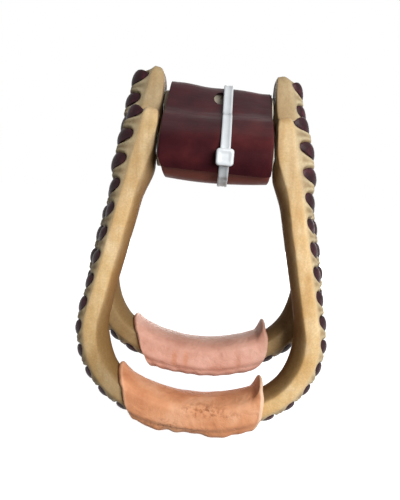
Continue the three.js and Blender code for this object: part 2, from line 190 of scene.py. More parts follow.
# Outline of a covered frame, in millimetres from the middle of its neck bolt
outline = {
    "insideHalfWidth": 63.5,
    "cornerRadius": 41.6,
    "legLength": 105.7,
    "legTop": 23.0,
    "legFlare": math.radians(12.6),
    "cornerEnd": math.radians(66),
    "depth": 25.0,
    "faceWidth": 9.1,
    "outerEdge": 1.1,
    "innerEdge": 0.7,
    "treadCrown": 4.0,
    "cornerCrown": 1.9,    # more of it in the lower corners, this far past the leg and over this length
    "cornerCrownPast": 18.0,
    "cornerCrownSpread": 20.0,
    "flatInset": 4.0,      # from the inner edge beside the bolt in to the flats of the roller
    "neckWiden": 2.8,
    # between which lengths past the neck's end its widening fades out and its swell comes in
    "widenFade": (1.0, 17.0),
    "crownRise": (-5.0, 7.0),
    # lengths from the top at which a face begins to widen, is wide, and begins and ends to narrow
    "faceWidening": (0.0, 20.0, 25.0, 45.0),
    "seamRidge": 3.8,
    "neckRidge": 9.2,
    "ridgeTop": 11.0,      # length in which the ridge comes down to the top of a neck
    "ridgeTopShare": 0.1,
    "neckEnd": 35.0,
    "neckFade": 28.0,
    "frontLean": 0.0,      # share by which the seam stands less proud at the right neck
    "rearLean": 0.42,
    "rearOffset": (0.0, 28.6, 29.5),
}
legFlare = outline["legFlare"]
cornerRadius = outline["cornerRadius"]
cornerX = outline["insideHalfWidth"] - cornerRadius
cornerZ = -cornerRadius * math.sin(legFlare) - outline["legLength"] * math.cos(legFlare)
bottomRadius = (cornerX + cornerRadius * math.cos(outline["cornerEnd"])) / math.cos(outline["cornerEnd"])
bottomZ = cornerZ + (bottomRadius - cornerRadius) * math.sin(outline["cornerEnd"])
legTotal = outline["legTop"] + outline["legLength"]
cornerCrownAt = legTotal + outline["cornerCrownPast"]
cornerTotal = cornerRadius * (legFlare + outline["cornerEnd"])
halfTotal = legTotal + cornerTotal + bottomRadius * (math.pi / 2 - outline["cornerEnd"])
neckHalfWidth = cornerX + cornerRadius * math.cos(legFlare) - outline["legLength"] * math.sin(legFlare)


# A place on the inner edge, by its length from the top of the left leg: x, z, outward normal and length
# from the nearer top
def placeAt(length):
    length = np.asarray(length, float)
    fromTop = np.minimum(length, 2 * halfTotal - length)
    side = np.where(length <= halfTotal, -1.0, 1.0)
    onLeg = fromTop <= legTotal
    onBottom = fromTop > legTotal + cornerTotal
    past = fromTop - legTotal
    angle = np.where(onLeg, legFlare, legFlare - past / cornerRadius)
    angle = np.where(onBottom, -outline["cornerEnd"] - (past - cornerTotal) / bottomRadius, angle)
    radius = np.where(onBottom, bottomRadius, cornerRadius)
    along = np.where(onLeg, legTotal - fromTop, 0.0)
    nx = side * np.cos(angle)
    nz = np.sin(angle)
    x = side * np.where(onBottom, 0.0, cornerX) + radius * nx - side * along * math.sin(legFlare)
    z = np.where(onBottom, bottomZ, cornerZ) + radius * nz + along * math.cos(legFlare)
    return x, z, nx, nz, fromTop


def neckShare(fromTop):
    return np.clip(1 - (fromTop - outline["neckEnd"]) / outline["neckFade"], 0, 1)


def ridgeAt(fromTop, lean=0.0):
    ridge = outline["seamRidge"] + (outline["neckRidge"] - outline["seamRidge"]) * neckShare(fromTop)
    topShare = outline["ridgeTopShare"]
    ridge = ridge * (topShare + (1 - topShare) * smoothstep(0, outline["ridgeTop"], fromTop))
    return ridge * (1 - lean * neckShare(fromTop))


# How the inner side changes at the neck, evened out so that nothing kinks: widening and swell by length
def evened(values, reach=13):
    weights = np.hanning(2 * reach + 1)
    return np.convolve(np.pad(values, reach, mode="edge"), weights / weights.sum(), "valid")


neckRuns = np.arange(0, 120, 0.5)
belowTop = np.minimum(neckRuns, outline["neckEnd"]) - outline["legTop"]
straight = neckHalfWidth + belowTop * math.sin(legFlare)
overFlat = neckRuns - outline["neckEnd"]
widening = np.minimum(neckRuns / outline["neckEnd"], np.interp(overFlat, outline["widenFade"], (1, 0)))
widening = outline["neckWiden"] * widening
crown = np.maximum(straight - widening - neckHalfWidth + outline["flatInset"], 0) / math.cos(legFlare)
crown += (outline["treadCrown"] - crown) * np.interp(overFlat, outline["crownRise"], (0, 1))
innerMiddle = evened(widening + crown)
widening = evened(outline["neckWiden"] * np.interp(neckRuns, outline["faceWidening"], (0, 1, 1, 0)))
crown = innerMiddle - widening


# Handles of the section, from the front face round the outer side: height over the inner edge, depth
def sectionHandles(fromTop, growth=0.0, seamGrowth=None, end=(1.0, 1.0, 0.5), edge=1.0, lean=0.0):
    seamGrowth = growth if seamGrowth is None else seamGrowth
    rise = 1 - np.minimum(fromTop / end[0], 1)
    roundness = end[1] + (1 - end[1]) * np.sqrt(1 - rise ** 2)
    half = outline["depth"] / 2 * roundness + growth
    widen = np.interp(fromTop, neckRuns, widening) * roundness
    inner = outline["faceWidth"] * end[2] * (1 - roundness) - growth - widen
    outer = outline["faceWidth"] * (end[2] + (1 - end[2]) * roundness)
    ridge = ridgeAt(fromTop, lean) * roundness
    swell = np.interp(fromTop, neckRuns, crown) * roundness
    swell = swell + outline["cornerCrown"] * bump(fromTop, cornerCrownAt, outline["cornerCrownSpread"])
    outerEdge = outline["outerEdge"] * roundness * edge
    innerEdge = outline["innerEdge"] * roundness * edge
    outerSide = [(outer + growth, outerEdge - half)]
    innerSide = [(inner, half - innerEdge)]
    for depthShare, heightShare, grown in ((0.81, 0.3, 0.35), (0.62, 0.58, 0.75), (0.28, 1.02, 1)):
        lift = growth + (seamGrowth - growth) * grown
        outerSide.append((outer + lift + ridge * heightShare, -half * depthShare))
        innerSide.append((inner - swell * min(heightShare, 1), half * depthShare))
    rear = [(outer + growth - outerEdge, half)]
    rear += [(outer + growth + (inner - outer - growth) * k, half) for k in (0.33, 0.67)]
    rear += [(inner + innerEdge, half)]
    handles = outerSide + [(h, -d) for h, d in outerSide[::-1]] + rear
    handles += innerSide + [(h, -d) for h, d in innerSide[::-1]] + [(h, -d) for h, d in rear[::-1]]
    return np.stack([np.stack(np.broadcast_arrays(h, d, fromTop + half)[:2], -1) for h, d in handles], -2)


# Weights that turn the handles into a smooth closed outline
samplesAt = [5, 8, 10, 16, 10, 8, 5, 3, 2, 2, 2, 3, 2, 3, 4, 5, 4, 3, 2, 4, 2, 3, 2, 3]
outerMark = [0.4, 1, 1, 1, 1, 1, 1, 0.4] + [0] * 16
innerMark = [0] * 12 + [0.6, 1, 1, 1, 1, 1, 1, 0.6] + [0] * 4


def splineWeights(samples):
    count = len(samples)
    rows = []
    for i, steps in enumerate(samples):
        for k in range(steps):
            t = k / steps
            row = np.zeros(count)
            for offset, weight in ((-1, (1 - t) ** 3), (0, 3 * t ** 3 - 6 * t ** 2 + 4),
                                   (1, -3 * t ** 3 + 3 * t ** 2 + 3 * t + 1), (2, t ** 3)):
                row[(i + offset) % count] += weight / 6
            rows.append(row)
    return np.array(rows)


weights = splineWeights(samplesAt)
outerWeight = weights @ np.array(outerMark)
innerWeight = weights @ np.array(innerMark)


# Seam lace: where its stitches cross the seam
laceStitches = {
    "count": 33,
    "frontFirst": 10.8,
    "rearFirst": 15.5,
    "width": 9.4,
    "thickness": 3.7,
    "reach": 9.9,      # to either side of the seam
    "slant": 9.0,
    "lift": 0.6,
    "unevenness": 0.1,
    "bed": 1.5,        # how deep a stitch lies in the rawhide
    "hole": 1.2,       # and how much deeper at its two holes
    "rim": 0.75,       # height of the rawhide pushed up round a stitch
    "gather": 1.2,     # height of the fold between two stitches
    "groove": 0.9,     # depth of the seam in that fold
}
seamLengths = np.linspace(0, 2 * halfTotal, 1501)
seamX, seamZ, seamNx, seamNz, seamTop = placeAt(seamLengths)
seamHeight = outline["faceWidth"] + ridgeAt(seamTop)
seamLine = np.stack([seamX + seamNx * seamHeight, seamZ + seamNz * seamHeight], -1)
seamRun = np.concatenate([[0], np.cumsum(np.linalg.norm(np.diff(seamLine, axis=0), axis=1))])


# How the lacing draws the rawhide in: change of height by distance along the seam and depth, with where
# painted shade goes in the stitch beds and seam groove and where a painted highlight goes on the rim round
# each stitch
def puckerAt(run, depth, leftShare, first):
    reach = laceStitches["reach"]
    side = np.abs(depth)
    lean = np.where(leftShare, 1.0, -1.0) * depth / reach * laceStitches["slant"] / 2
    pitch = (seamRun[-1] - 2 * first) / (laceStitches["count"] - 1)
    number = np.clip((run - lean - first) / pitch, -0.45, laceStitches["count"] - 0.55)
    off = np.abs(number - np.round(number)) * pitch
    ring = ((off / (laceStitches["width"] / 2 + 0.5)) ** 2.4 + (side / (reach + 0.7)) ** 3) ** 0.4
    free = 0.5 - 0.5 * np.cos(2 * math.pi * number)
    height = laceStitches["rim"] * bump(ring, 1.22, 0.22) * smoothstep(0.5, 4.5, side)
    height += laceStitches["gather"] * free ** 1.3 * bump(depth, 0, 8.5)
    height -= laceStitches["bed"] * smoothstep(1.08, 0.8, ring)
    height -= laceStitches["hole"] * smoothstep(1.05, 0.85, ring) * bump(side, reach - 0.9, 1.3)
    height -= laceStitches["groove"] * bump(depth, 0, 0.5)
    # painted shade: in the stitch beds and along the seam groove
    dark = np.clip(smoothstep(1.12, 0.95, ring) + 0.6 * bump(depth, 0, 0.6), 0, 1)
    return height, dark, bump(ring, 1.22, 0.16)


# Rawhide: stretched wet over the wood, drawn shut by the lace
rawhideCover = {
    "rings": 620,
    "unevenness": 0.2,
    "tipRise": 0.35,
    # length that rounds off at a neck's top, share of the section left there, its place across the left
    # and the right face
    "frontEnd": (7.5, 0.5, 0.5, 0.5),
    "rearEnd": (11.0, 0.26, 0.8, 0.3),
    # how much greyer each piece is (on the rear one partly painted shade, which also deepens its painted
    # shade in the lower corners) and how much greyer near the necks
    "frontAge": 0.0,
    "rearAge": 0.3,
    "neckAge": 0.22,
    # middle and radius of an amber spot
    "frontSpot": ((55, -7, 8), 3.2),
    "rearSpot": ((50, 22, 43), 3.0),
}


def onFrame(place, height, depth, offset):
    x, z, nx, nz = place[:4]
    points = np.stack([x + nx * height, depth, z + nz * height], -1)
    return points + np.array(offset)


def makeRawhide(name, offset, material, seed):
    endLength, endShare, leftPlace, rightPlace = rawhideCover[name + "End"]
    age = rawhideCover[name + "Age"]
    ends = endLength * (1 - np.cos(np.linspace(0, math.pi / 2, 14)[:-1]))
    middle = np.linspace(endLength, 2 * halfTotal - endLength, rawhideCover["rings"])
    lengths = np.concatenate([ends, middle, 2 * halfTotal - ends[::-1]])
    place = [value[:, None] for value in placeAt(lengths)]
    fromTop = place[4]
    onRight = lengths > halfTotal
    onLeft = ~onRight[:, None]
    top = (endLength, endShare, np.where(onRight, rightPlace, leftPlace))
    handles = sectionHandles(fromTop[:, 0], end=top, lean=outline[name + "Lean"] * onRight)
    section = np.einsum("nk,rkc->rnc", weights, handles)
    height, depth = section[..., 0], section[..., 1]
    run = np.interp(lengths, seamLengths, seamRun)[:, None]
    pucker, dark, pale = puckerAt(run, depth, onLeft, laceStitches[name + "First"])
    fade = smoothstep(1, 7, fromTop) * outerWeight[None, :] ** 1.5
    height = height + pucker * fade
    lumps = np.array([noise.noise(Vector(p) / 13 + Vector((seed, 0, 0))) + 0.5 * noise.noise(Vector(p) / 5)
                      for p in onFrame(place, height, depth, offset).reshape(-1, 3).tolist()])
    lumps = lumps.reshape(height.shape) * np.where(outerWeight > 0.3, 1, -1)[None, :]
    height = height + lumps * rawhideCover["unevenness"]
    points = onFrame(place, height, depth, offset)
    rings, count = height.shape
    faces = gridFaces(rings, count)
    tips = np.array([points[0].mean(0), points[-1].mean(0)])
    tips[:, 2] += rawhideCover["tipRise"]
    first, last = rings * count, (rings - 1) * count
    faces += [[first, (j + 1) % count, j] for j in range(count)]
    faces += [[first + 1, last + j, last + (j + 1) % count] for j in range(count)]
    flat = np.concatenate([points.reshape(-1, 3), tips])
    spot, size = rawhideCover[name + "Spot"]
    # painted shade in the lower corners: on their inner side, stronger on the rear piece, and on the left
    # leg's face too
    worn = innerWeight + 2.2 * age + onLeft * (0.3 + 0.6 * smoothstep(legTotal + 8, legTotal + 36, fromTop))
    marks = {
        "outerSide": outerWeight,
        # inner side: a deeper brown of its own, and painted shade that grows towards the rear edge, reaching
        # further forward on the left leg
        "innerSide": innerWeight * smoothstep(-26 - 14 * onLeft, 6, depth),
        # painted shade in the stitch beds and along the seam groove
        "drawnIn": dark * fade,
        # painted highlight on the raised rim of hide round each stitch
        "rim": pale * fade,
        # greyer on the rear piece, partly its own tint and partly painted shade; greyer near the necks
        "aged": age + rawhideCover["neckAge"] * neckShare(fromTop),
        "worn": smoothstep(legTotal - 25, legTotal + 22, fromTop) * np.clip(worn, 0, 1),
    }
    for mark, values in marks.items():
        marks[mark] = np.append(np.broadcast_to(values, height.shape), (0, 0))
    marks["amber"] = np.exp(-np.sum((flat - np.array(spot)) ** 2, 1) / size ** 2)
    return makePiece(name + "_rawhide", flat, faces, material, marks)


# Dried, scraped hide: hard, slightly glossy, lets a little light in, with pores about 1 mm apart. Painted
# highlight along the face's outer edge and round each stitch; painted shade in the stitch beds and lower
# corners, and partly on the inner side and the rear piece
rawhide, tree, place = newMaterial("rawhide")
outerSide = add(tree, "ShaderNodeAttribute", attribute_name="outerSide").outputs["Fac"]
innerSide = add(tree, "ShaderNodeAttribute", attribute_name="innerSide").outputs["Fac"]
cloud = add(tree, "ShaderNodeTexNoise", {"Vector": place, "Scale": 55, "Detail": 4, "Roughness": 0.6})
patch = add(tree, "ShaderNodeTexNoise", {"Vector": place, "Scale": 110, "Detail": 5, "Roughness": 0.65})
pores = add(tree, "ShaderNodeTexNoise", {"Vector": place, "Scale": 900, "Detail": 3})
dents = add(tree, "ShaderNodeTexNoise", {"Vector": place, "Scale": 260, "Detail": 5, "Roughness": 0.6})
upright = add(tree, "ShaderNodeMapping", {"Vector": place, "Scale": (1.0, 1.0, 0.09)})
band = add(tree, "ShaderNodeTexNoise", {"Vector": upright, "Scale": 210, "Detail": 3})
band = add(tree, "ShaderNodeMapRange", {"Value": band, "From Min": 0.42, "From Max": 0.66, "To Max": 0.42})
# painted highlight: a paler band along the face's outer edge
paintedEdgeHighlight = add(tree, "ShaderNodeMapRange", {"Value": outerSide, "From Max": 0.3, "To Max": 0.5})
tan = add(tree, "ShaderNodeValToRGB", {"Fac": cloud},
          [(0.3, "#CDA56A"), (0.5, "#DDBB86"), (0.68, "#EACFA2")])
tan = coloured(tree, tan, [(band, 1, "#C08F58"), (paintedEdgeHighlight, 1, "#F3DDB2")])
olive = add(tree, "ShaderNodeValToRGB", {"Fac": patch},
            [(0.35, "#8A7253"), (0.52, "#A58D69"), (0.68, "#C4AC84")])
colour = add(tree, "ShaderNodeMix", {"Factor": outerSide, 6: tan, 7: olive}, data_type="RGBA")
colour = coloured(tree, colour, [
    # deeper brown inner side, partly painted shade; greyer rear piece, partly painted shade; painted shade
    # in the lower corners
    ("innerSide", 1, "#7A532A"), ("aged", 1, "#7D7460"), ("worn", 0.7, "#7C613B"),
    # amber stains; painted highlight on the stitch rims; painted shade in the stitch beds and seam groove
    ("amber", 1, "#A87440"), ("rim", 0.55, "#D9CBA6"), ("drawnIn", 0.45, "#6E5A40"),
])
links = {"Value": pores, "From Min": 0.35, "From Max": 0.7, "To Min": 0.9, "To Max": 1.06}
links = {"Factor": 1.0, 6: colour, 7: add(tree, "ShaderNodeMapRange", links)}
colour = add(tree, "ShaderNodeMix", links, data_type="RGBA", blend_type="MULTIPLY")
sheen = add(tree, "ShaderNodeMapRange", {"Value": innerSide, "To Min": 0.16, "To Max": 0.0})
finishMaterial(tree, colour, (patch, 0.5, 0.66), [(dents, 0.35, 0.0006), (pores, 0.2, 0.0002)], {
    "IOR": 1.53, "Specular IOR Level": sheen, "Subsurface Weight": 0.06,
    "Subsurface Radius": (1.0, 0.6, 0.3), "Subsurface Scale": 0.0015})

stirrups = (("front", np.zeros(3)), ("rear", np.array(outline["rearOffset"])))
for (name, offset), seed in zip(stirrups, (3, 11)):
    settle(makeRawhide(name, offset, rawhide, seed), name + "_stirrup", "rawhide", name + "_rawhide_cover")


# Stitches: a strap over the seam at each point of a path, its ends dived into the hide
def stitchTree():
    tree = bpy.data.node_groups.new("stitchesOverSeam", "GeometryNodeTree")
    for name, kind, value in (("Geometry", "Geometry", None), ("Width", "Float", 7),
                              ("Thickness", "Float", 2.5), ("Reach", "Float", 8), ("Slant", "Float", 5),
                              ("Lift", "Float", 0.3), ("Unevenness", "Float", 0.1), ("Seed", "Int", 5),
                              ("Material", "Material", None)):
        socket = tree.interface.new_socket(name, in_out="INPUT", socket_type="NodeSocket" + kind)
        if value is not None:
            socket.default_value = value
    tree.interface.new_socket("Geometry", in_out="OUTPUT", socket_type="NodeSocketGeometry")
    given = add(tree, "NodeGroupInput").outputs

    # every stitch starts as a rod that remembers its own place, with three random shares of its own
    sizes = {"Vertices": 16, "Side Segments": 20, "Radius": 1.0, "Depth": 2.0}
    rod = add(tree, "GeometryNodeMeshCylinder", sizes, fill_type="TRIANGLE_FAN")
    links = {"Geometry": rod, "Name": "local", "Value": add(tree, "GeometryNodeInputPosition")}
    rod = add(tree, "GeometryNodeStoreNamedAttribute", links, data_type="FLOAT_VECTOR", domain="POINT")
    points = given["Geometry"]
    index = add(tree, "GeometryNodeInputIndex")
    known = {socket.name: socket for socket in given}
    for i, size in enumerate(("Width", "Slant", "Lift")):
        seed = add(tree, "FunctionNodeIntegerMath", {0: given["Seed"], 1: i}, operation="ADD")
        drawn = add(tree, "FunctionNodeRandomValue", {2: -1.0, 3: 1.0, "ID": index, "Seed": seed})
        links = {"Geometry": points, "Name": "more" + size, "Value": drawn}
        points = add(tree, "GeometryNodeStoreNamedAttribute", links, data_type="FLOAT", domain="POINT")
    solid = add(tree, "GeometryNodeInstanceOnPoints", {"Points": points, "Instance": rod})
    solid = add(tree, "GeometryNodeRealizeInstances", {"Geometry": solid})
    for kind, names in (("FLOAT", ("moreWidth", "moreSlant", "moreLift", "turn", "ridge", "bend")),
                        ("FLOAT_VECTOR", ("local", "along", "out"))):
        for name in names:
            known[name] = add(tree, "GeometryNodeInputNamedAttribute", {"Name": name}, data_type=kind)
    parts = add(tree, "ShaderNodeSeparateXYZ", {0: known["local"]}).outputs
    known["round"], known["up"], known["across"] = parts

    # and is flattened, slanted, bent over the ridge and dived into the hide at both ends. A step has the
    # name of what it works out, its operation and what it takes
    steps = (
        # along the seam: narrower towards both ends, and slanted
        ("side", "ABSOLUTE", "across"),
        ("widthShift", "MULTIPLY_ADD", "moreWidth", "Unevenness", 1.0),
        ("width", "MULTIPLY", "Width", "widthShift"),
        ("towardsEnd", "POWER", "side", 3.0),
        ("narrowing", "MULTIPLY_ADD", "towardsEnd", -0.96, 1.0),
        ("widthShare", "SQRT", "narrowing"),
        ("widthHere", "MULTIPLY", "width", "widthShare"),
        ("strapAlong", "MULTIPLY", "round", "widthHere"),
        ("slantShift", "MULTIPLY_ADD", "moreSlant", "Unevenness", 1.0),
        ("slant", "MULTIPLY", "Slant", "slantShift"),
        ("turned", "MULTIPLY", "across", "turn"),
        ("wholeAlong", "MULTIPLY_ADD", "turned", "slant", "strapAlong"),
        ("alongSeam", "MULTIPLY", "wholeAlong", 0.5),
        # up from the hide: thinner towards both ends, which dive
        ("atEnd", "POWER", "side", 5.0),
        ("thickShare", "MULTIPLY_ADD", "atEnd", -0.55, 1.0),
        ("strapUp", "MULTIPLY", "up", "thickShare"),
        ("diving", "POWER", "side", 6.0),
        ("divedUp", "MULTIPLY_ADD", "diving", -1.4, "strapUp"),
        ("halfThickness", "MULTIPLY", "Thickness", 0.5),
        ("liftShift", "MULTIPLY_ADD", "moreLift", "Unevenness", 1.0),
        ("lift", "MULTIPLY", "Lift", "liftShift"),
        ("overSeam", "MULTIPLY_ADD", "divedUp", "halfThickness", "lift"),
        # and down with the slope of the ridge and the bend of the frame
        ("slope", "POWER", "side", 1.9),
        ("fall", "MULTIPLY", "slope", "ridge"),
        ("drop", "MULTIPLY", "fall", 0.66),
        ("square", "MULTIPLY", "alongSeam", "alongSeam"),
        ("roundFrame", "MULTIPLY_ADD", "square", "bend", "drop"),
        ("height", "SUBTRACT", "overSeam", "roundFrame"),
        ("depth", "MULTIPLY", "across", "Reach"),
    )
    for name, operation, *values in steps:
        links = {i: known.get(value, value) for i, value in enumerate(values)}
        known[name] = add(tree, "ShaderNodeMath", links, operation=operation)
    place = add(tree, "ShaderNodeCombineXYZ", {1: known["depth"]})
    for way, length in (("along", "alongSeam"), ("out", "height")):
        part = add(tree, "ShaderNodeVectorMath", {0: known[way], "Scale": known[length]}, operation="SCALE")
        place = add(tree, "ShaderNodeVectorMath", {0: place, 1: part}, operation="ADD")
    place = add(tree, "ShaderNodeVectorMath", {0: place, "Scale": mm}, operation="SCALE")
    offset = add(tree, "ShaderNodeVectorMath", {0: place, 1: known["local"]}, operation="SUBTRACT")
    solid = add(tree, "GeometryNodeSetPosition", {"Geometry": solid, "Offset": offset})
    solid = add(tree, "GeometryNodeSetShadeSmooth", {"Geometry": solid})
    solid = add(tree, "GeometryNodeRealizeInstances", {"Geometry": solid})
    solid = add(tree, "GeometryNodeSetMaterial", {"Geometry": solid, "Material": given["Material"]})
    add(tree, "NodeGroupOutput", {"Geometry": solid})
    return tree


stitchNodes = stitchTree()


def makeStitches(name, runs, height, fallShare, lean, offset, sizes, material, seed, turned):
    lengths = np.interp(runs, seamRun, seamLengths)
    x, z, nx, nz, fromTop = placeAt(lengths)
    ridge = ridgeAt(fromTop, lean * (lengths > halfTotal))
    rise = height + ridge
    flat = np.zeros_like(x)
    points = np.stack([x + nx * rise, flat, z + nz * rise], -1) + np.array(offset)
    mesh = bpy.data.meshes.new(name + "Path")
    mesh.from_pydata((points * mm).tolist(), [], [])
    radius = np.where(fromTop > legTotal + cornerTotal, bottomRadius, cornerRadius)
    radius = np.where(fromTop < legTotal, 1e9, radius)
    storeValues(mesh, "FLOAT_VECTOR", {
        "along": np.stack([-nz, flat, nx], -1),
        "out": np.stack([nx, flat, nz], -1),
    })
    storeValues(mesh, "FLOAT", {
        "ridge": fallShare * ridge,
        "turn": np.where((lengths <= halfTotal) | (not turned), 1.0, -1.0),
        "bend": 0.5 / (radius + rise),
    })
    path = linked(name + "Path", mesh)
    modifier = path.modifiers.new("stitches", "NODES")
    modifier.node_group = stitchNodes
    given = {**sizes, "seed": seed, "material": material}
    for item in stitchNodes.interface.items_tree:
        if item.in_out == "INPUT" and item.name.lower() in given:
            modifier[item.identifier] = given[item.name.lower()]
    made = bpy.data.meshes.new_from_object(path.evaluated_get(bpy.context.evaluated_depsgraph_get()))
    made.name = name
    bpy.data.objects.remove(path)
    return linked(name, made)


# Alum tanned cowhide strip, waxed: deep plum with a soft sheen and a fine grain
latigo, tree, place = newMaterial("oiledLatigoLace")
grain = add(tree, "ShaderNodeTexVoronoi", {"Vector": place, "Scale": 1500})
folds = add(tree, "ShaderNodeTexNoise", {"Vector": place, "Scale": 420, "Detail": 3})
cloud = add(tree, "ShaderNodeTexNoise", {"Vector": place, "Scale": 240, "Detail": 4})
plum = add(tree, "ShaderNodeValToRGB", {"Fac": cloud},
           [(0.3, "#1F0A0F"), (0.55, "#30131A"), (0.72, "#4A2129")])
finishMaterial(tree, plum, 0.42, [(grain, 0.35, 0.00025), (folds, 0.5, 0.0005)],
               {"IOR": 1.5, "Specular IOR Level": 0.17})

for (name, offset), seed in zip(stirrups, (4, 9)):
    first = laceStitches[name + "First"]
    runs = np.linspace(first, seamRun[-1] - first, laceStitches["count"])
    lace = makeStitches(name + "_lace", runs, outline["faceWidth"], 1.0, outline[name + "Lean"], offset,
                        laceStitches, latigo, seed, True)
    settle(lace, name + "_stirrup", "latigo", name + "_seam_lace")


# Tread covers: a leather strap sewn shut under the tread, longer on its inner side
treadCovers = {
    "thickness": 2.8,
    "clearance": 0.3,
    "seamRoom": 3.15,      # over the lace
    "edgeRound": 1.3,
    "foldShare": 2.4,      # how much softer its folds are than the rawhide's edges
    "longestHalf": 75.0,   # from the middle of the tread
    "endCurl": (0.5, 4.6),  # by which the upper side lifts off at the left and the right end
    "rings": 150,
    # where the left and the right end are cut: x by height, from the top down
    "frontEnds": (((-51.5, -128), (-49.0, -138), (-45.5, -148), (-41.5, -160), (-37.0, -171)),
                  ((45.6, -128), (44.0, -138), (41.8, -150), (40.2, -160), (35.5, -171))),
    "rearEnds": (((-47.5, -130), (-45.5, -140), (-40.5, -153), (-35.5, -164), (-31.0, -172)),
                 ((46.0, -128), (44.8, -138), (44.6, -150), (42.0, -161), (35.5, -171))),
    # lumps of the lower side: place along it from -1 to 1, width, size
    "frontLumps": ((-0.66, 0.12, 0.5), (-0.43, 0.09, -0.9), (-0.06, 0.3, -1.9), (0.42, 0.2, 1.4),
                   (-1, 0.2, -0.8)),
    "rearLumps": ((-0.2, 0.5, -0.5), (0.75, 0.3, -0.6)),
    # how pale the cut edge is at the left and the right end
    "frontPale": (0.15, 0.8),
    "rearPale": (0.1, 0.1),
    "waviness": 0.3,
    "unevenness": 0.3,
    "leftWrinkles": 0.9,
}


def lumpAt(share, lumps):
    return sum(size * np.exp(-((share - middle) / width) ** 2) for middle, width, size in lumps)


# Length along the frame at which each point of a section meets the line of an end
def endSpans(heights, ends):
    spans = []
    for side, line in zip((-1, 1), ends):
        arcs = np.linspace(0, treadCovers["longestHalf"], 400)
        x, z, nx, nz, _ = placeAt(halfTotal + side * arcs)
        px = side * (x[None, :] + nx[None, :] * heights[:, None])
        pz = z[None, :] + nz[None, :] * heights[:, None]
        tall = np.array(line)[::-1]
        limit = side * np.interp(pz, tall[:, 1], tall[:, 0])
        spans.append(arcs[np.argmax(px >= limit, axis=1)])
    return spans


def makeTread(name, offset, seed, material):
    samples = [5, 6, 8, 10, 8, 6, 5, 5, 3, 3, 3, 5, 4, 5, 6, 6, 6, 5, 4, 5, 3, 3, 3, 5]
    smooth = splineWeights(samples)
    belowNeck = np.array([1000.0])
    thick, gap, seamGap = (treadCovers[key] for key in ("thickness", "clearance", "seamRoom"))
    fold = treadCovers["foldShare"]
    outside = smooth @ sectionHandles(belowNeck, gap + thick, seamGap + thick, edge=fold)[0]
    inside = smooth @ sectionHandles(belowNeck, gap, seamGap)[0]
    innerShare = smooth @ np.array(innerMark)
    outerShare = smooth @ np.array(outerMark)
    # each ring: its place from -1 to 1, its share of the thickness, how far the edge bulges there
    rim = np.linspace(0, math.pi, 9)
    along = np.linspace(-1, 1, treadCovers["rings"])
    rings = [(u, 1.0, 0.0) for u in along[1:-1]]
    rings += [(1.0, 0.5 + 0.5 * math.cos(a), math.sin(a)) for a in rim]
    rings += [(u, 0.0, 0.0) for u in along[::-1][1:-1:3]]
    rings += [(-1.0, 0.5 - 0.5 * math.cos(a), math.sin(a)) for a in rim]
    spans = endSpans((outside[:, 0] + inside[:, 0]) / 2, treadCovers[name + "Ends"])
    spans = [np.convolve(np.pad(span, 4, mode="wrap"), np.full(9, 1 / 9), "valid") for span in spans]
    points, uvs, cut = [], [], []
    girth = np.concatenate([[0], np.cumsum(np.linalg.norm(np.diff(outside, axis=0), axis=1))])
    for u, outwards, bulge in rings:
        onRight = int(u > 0)
        far = abs(u)
        section = inside + (outside - inside) * outwards
        height, depth = section[:, 0].copy(), section[:, 1].copy()
        height -= innerShare * smoothstep(0.8, 1.02, far) * treadCovers["endCurl"][onRight]
        wave = treadCovers["waviness"] * math.sin(u * 23 + seed) * smoothstep(2, 9, np.abs(depth))
        height += outerShare * (lumpAt(u, treadCovers[name + "Lumps"]) + wave) * outwards
        reach = spans[onRight] - treadCovers["edgeRound"] * (1 - bulge)
        points.append(onFrame(placeAt(halfTotal + np.sign(u) * reach * far), height, depth, offset))
        uvs.append(np.stack([np.full(len(girth), u * 0.42), girth / 100], -1))
        atEdge = max(bulge, 1.0 if outwards > 0.9 and far > 0.985 else 0.0)
        cut.append(np.full(len(girth), min(atEdge * treadCovers[name + "Pale"][onRight] * 1.6, 1.0)))
    points = np.concatenate(points)
    lumpy = np.array([noise.noise(Vector(point) / 9 + Vector((seed, 2, 0))) for point in points.tolist()])
    atLeftEnd = np.repeat([smoothstep(-0.72, -1.0, u) for u, _, _ in rings], len(girth))
    points[:, 2] += lumpy * (treadCovers["unevenness"] + treadCovers["leftWrinkles"] * atLeftEnd)
    faces = gridFaces(len(rings), len(girth), closeRings=True)
    marks = {"cutEdge": np.concatenate(cut)}
    return makePiece(name + "_tread", points, faces, material, marks, np.concatenate(uvs))


